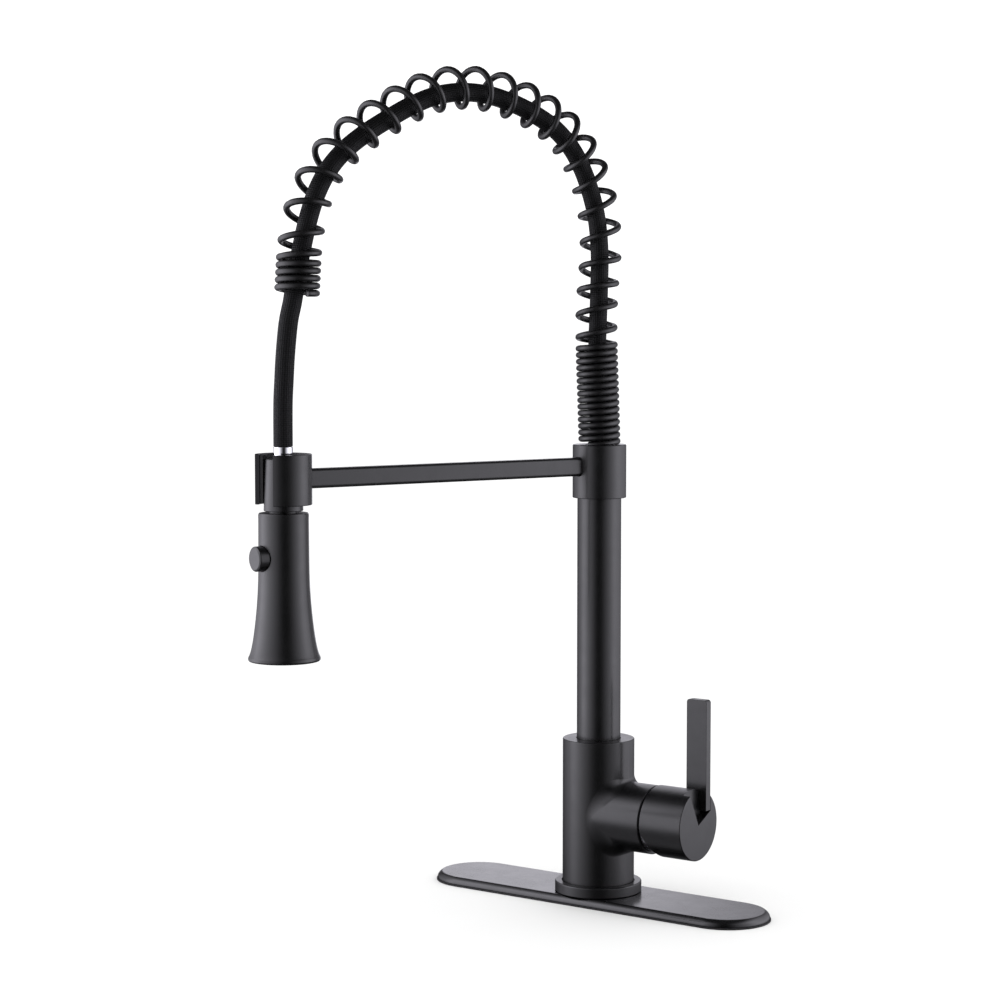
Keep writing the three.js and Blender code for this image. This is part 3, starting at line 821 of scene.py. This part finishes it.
def open_ring(name, inner, outer, low, high, half_gap, edge):
    """A ring about the head's axis with its gap centred on forward."""
    section = rounded([(inner, low, edge), (outer, low, edge), (outer, high, edge),
                       (inner, high, edge)], 4)
    steps = 90
    sections = []
    for i in range(steps + 1):
        degrees = -90 + half_gap + (360 - 2 * half_gap) * i / steps
        angle = math.radians(degrees)
        sections.append([(p.x * math.cos(angle), p.x * math.sin(angle), p.y) for p in section])
    return loft(name, sections, HEAD)


def make_clip():
    clip = open_ring("clip", CLIP_INNER, CLIP_OUTER, 278.4, 309.8, 40, 0.5)
    combine(clip, [arm_window(REACH - 20, REACH - 10)], "DIFFERENCE")
    dress(clip, "black_paint", "spout", "dock_clip")
    liner = open_ring("liner", 12.9, 14.7, 279.0, 309.2, 42, 0.4)
    dress(liner, "black_plastic", "spout", "dock_liner")


# ---------- spray head ----------


def make_neck():
    ferrule = turned("ferrule", [
        (3, 297, 0), (6.15, 297, 0), (6.15, 314.3, 0.5), (3, 314.3, 0),
    ], HEAD, sides=96)
    dress(ferrule, "chrome", "hose_end", "hose_ferrule")
    neck = turned("neck", [
        (3, 261, 0), (9, 261, 0), (9, NECK_BOTTOM, 0), (12.27, NECK_BOTTOM, 0.5),
        (10.97, 306.7, 0.7),
        (6.45, 306.7, 0.2), (6.45, 296.7, 0), (3, 296.7, 0),
    ], HEAD, sides=128)
    dress(neck, "black_paint", "hose_end", "head_neck")


def smooth_profile(points, per_segment=6):
    """A curve through (radius, height) points, as corners without rounding."""
    flat = [Vector((r, z, 0)) for r, z in points]
    return [(p.x, p.y, 0) for p in catmull(flat, per_segment)]


def make_head():
    flare = smooth_profile([
        (15.6, 269), (15.66, 256), (15.75, 244), (15.95, 231.8), (16.6, 219.4), (17.74, 207),
        (19.42, 194.5), (20.7, 188.2), (21.6, 185.4), (22.2, 184.2),
    ])
    outer = flare[::-1] + [(15.65, 272.4, 0), (15.2, 273.4, 0), (14.8, 273.5, 0)]
    lip = [(21.0, 181.5, 0), (21.9, 181.7, 0), (22.4, 182.3, 0), (22.5, 183.2, 0)]
    inner = [(9.4, 273.5, 0), (9.4, 269.5, 0), (13.3, 269.5, 0), (13.3, 231.8, 0),
             (14.3, 219.4, 0), (15.6, 207, 0), (17.2, 194.5, 0), (18.6, 185.9, 0),
             (19.9, 185.9, 0), (19.9, 181.5, 0)]
    shell = turned("shell", lip + outer + inner, HEAD, sides=VISIBLE_SIDES, sharp=40)
    hole = plug("hole", BUTTON_RADIUS + 0.4, 11, 26, FORWARD_BUTTON)
    combine(shell, [hole], "DIFFERENCE", sharp=40)
    dress(shell, "black_paint", "spray_head", "head_shell")
    face = turned("face", [(8.4, 182.3, 0.2), (19.6, 182.3, 0.3), (19.6, 185.5, 0),
                           (8.4, 185.5, 0)], HEAD, sides=128)
    combine(face, spray_holes(), "DIFFERENCE")
    dress(face, "black_plastic", "spray_head", "spray_face")


def spray_holes():
    """Two rings of jets: an inner one of wide holes and an outer one of fine holes."""
    holes = []
    for radius, count, size in ((14.0, 12, 0.9), (17.0, 24, 0.55)):
        for i in range(count):
            angle = 2 * math.pi * i / count
            at = HEAD @ Matrix.Translation((radius * math.cos(angle), radius * math.sin(angle), 0))
            holes.append(plug("jet", size, 180, 187, at, sides=16))
    return holes


def make_button():
    button = turned("button", [
        (0, 7, 0), (2.5, 7, 0), (2.5, 14.2, 0), (BUTTON_RADIUS, 14.2, 0),
        (BUTTON_RADIUS, BUTTON_FACE - 0.9, 0.8), (BUTTON_RADIUS - 1.2, BUTTON_FACE - 0.15, 0.5),
        (0, BUTTON_FACE, 0),
    ], FORWARD_BUTTON, sides=96)
    dress(button, "black_paint", "button", "spray_button")


# ---------- CAD nodes that keep their shape ----------


def dress_nodes():
    """Every CAD node that still shows gets its slot's material."""
    slots = {part["node"]: part["material_slot"] for part in frame["record"]["subparts"]}
    for name, piece in frame["nodes"].items():
        if piece.hide_render:
            continue
        piece.data.materials.clear()
        piece.data.materials.append(MATERIALS[slots[name]])


# ---------- light and floor ----------

FLOOR_TONE = (0.87, 0.87, 0.87)

# Brightness of the room by the angle round the object, from the camera's side (0)
# to its right (90) and to the far side (180): dark behind the camera, a wide soft
# box on each side, dark corners at the back and a pale wall between them. The tones
# were set over several renders, to bring the highlights close to the photo's.
ROOM_TONES = [
    (-180, 1.2), (-168, 1.2), (-160, 0.15), (-147, 0.1), (-122, 0.8), (-106, 1.35), (-92, 3.0),
    (-78, 3.2), (-60, 2.1), (-40, 1.1), (-22, 0.33), (-10, 0.02), (10, 0.02), (22, 0.28),
    (40, 0.88), (60, 1.65), (78, 2.55), (92, 2.4), (106, 1.7), (120, 1.1), (147, 0.35),
    (160, 0.15), (172, 0.8), (180, 1.2),
]
BRIGHTEST = 3.3
TINT = (0.93, 0.915, 1.0)
CAMERA_SIDE = (0.5546, -0.8321, 0)
CAMERA_RIGHT = (0.8321, 0.5546, 0)
UP = (0, 0, 1)
CEILING = 0.08
ROOM_RADIUS = 0.92
ROOM_MIDDLE = 0.25


class Room:
    """Nodes that give each direction from the room's middle its brightness."""

    def __init__(self, tree):
        self.tree = tree
        node = tree.nodes.new("ShaderNodeVectorMath")
        node.operation = "NORMALIZE"
        tree.links.new(tree.nodes.new("ShaderNodeTexCoord").outputs["Object"], node.inputs[0])
        self.direction = node.outputs["Vector"]

    def along(self, axis):
        node = self.tree.nodes.new("ShaderNodeVectorMath")
        node.operation = "DOT_PRODUCT"
        node.inputs[1].default_value = axis
        self.tree.links.new(self.direction, node.inputs[0])
        return node.outputs["Value"]

    def span(self, value, start, end, low, high, smooth=False):
        node = self.tree.nodes.new("ShaderNodeMapRange")
        node.interpolation_type = "SMOOTHSTEP" if smooth else "LINEAR"
        for key, number in zip(("From Min", "From Max", "To Min", "To Max"),
                               (start, end, low, high)):
            node.inputs[key].default_value = number
        self.tree.links.new(value, node.inputs["Value"])
        return node.outputs["Result"]

    def angle(self):
        """The angle round the object, from 0 at the far side, through the left, to 1."""
        node = self.tree.nodes.new("ShaderNodeMath")
        node.operation = "ARCTAN2"
        self.tree.links.new(self.along(CAMERA_RIGHT), node.inputs[0])
        self.tree.links.new(self.along(CAMERA_SIDE), node.inputs[1])
        return self.span(node.outputs[0], -math.pi, math.pi, 0, 1)

    def shade(self, tone):
        return (*[tone / BRIGHTEST * part for part in TINT], 1)

    def color(self):
        """The walls' tone by angle, with the ceiling above them."""
        ramp = self.tree.nodes.new("ShaderNodeValToRGB")
        stops = ramp.color_ramp.elements
        while len(stops) < len(ROOM_TONES):
            stops.new(0.5)
        for stop, (degrees, tone) in zip(stops, ROOM_TONES):
            stop.position = (degrees + 180) / 360
            stop.color = self.shade(tone)
        self.tree.links.new(self.angle(), ramp.inputs["Fac"])
        mixed = self.tree.nodes.new("ShaderNodeMix")
        mixed.data_type = "RGBA"
        mixed.inputs["B"].default_value = self.shade(CEILING)
        self.tree.links.new(self.span(self.along(UP), 0.5, 0.8, 0, 1), mixed.inputs["Factor"])
        self.tree.links.new(ramp.outputs["Color"], mixed.inputs["A"])
        return mixed.outputs["Result"]

    def strength(self):
        """The walls darken towards the floor."""
        return self.span(self.along(UP), -0.6, -0.25, 0.12 * BRIGHTEST, BRIGHTEST, smooth=True)


def make_studio():
    """A plain white world lights the floor. What gleams sees the room instead."""
    world = bpy.data.worlds.new("studio")
    bpy.context.scene.world = world
    world.use_nodes = True
    world.cycles_visibility.glossy = False
    background = world.node_tree.nodes["Background"]
    background.inputs["Color"].default_value = (1, 1, 1, 1)
    background.inputs["Strength"].default_value = 1.25


def make_room():
    """A round room that only reflections see."""
    form = bmesh.new()
    bmesh.ops.create_uvsphere(form, u_segments=96, v_segments=48, radius=ROOM_RADIUS)
    mesh = bpy.data.meshes.new("room")
    form.to_mesh(mesh)
    form.free()
    walls = bpy.data.objects.new("room", mesh)
    walls.location = (0, 0, ROOM_MIDDLE)
    bpy.context.collection.objects.link(walls)
    walls.visible_camera = False
    walls.visible_diffuse = False
    walls.visible_transmission = False
    walls.visible_shadow = False
    material = bpy.data.materials.new("room_walls")
    material.use_nodes = True
    material.cycles.emission_sampling = "NONE"
    tree = material.node_tree
    tree.nodes.remove(tree.nodes["Principled BSDF"])
    glow = tree.nodes.new("ShaderNodeEmission")
    room = Room(tree)
    tree.links.new(room.color(), glow.inputs["Color"])
    tree.links.new(room.strength(), glow.inputs["Strength"])
    tree.links.new(glow.outputs["Emission"], tree.nodes["Material Output"].inputs["Surface"])
    mesh.materials.append(material)


def make_floor():
    size = 60
    mesh = bpy.data.meshes.new("floor")
    mesh.from_pydata(
        [(-size, -size, 0), (size, -size, 0), (size, size, 0), (-size, size, 0)],
        [], [(0, 1, 2, 3)],
    )
    floor = bpy.data.objects.new("floor", mesh)
    bpy.context.collection.objects.link(floor)
    floor.visible_glossy = False
    n = Nodes("pale_floor")
    n.set(Roughness=0.9, Specular_IOR_Level=0.0)
    n.link(n.mix(n.noise(3, 2), FLOOR_TONE, [1.01 * c for c in FLOOR_TONE]),
           n.shader.inputs["Base Color"])
    mesh.materials.append(n.material)


make_camera()
MATERIALS = make_materials()
make_hose()
make_spring()
make_plate()
make_body()
make_handle()
make_riser()
make_arm()
make_clip()
make_neck()
make_head()
make_button()
dress_nodes()
make_studio()
make_room()
make_floor()
bpy.context.scene.view_settings.view_transform = "Standard"
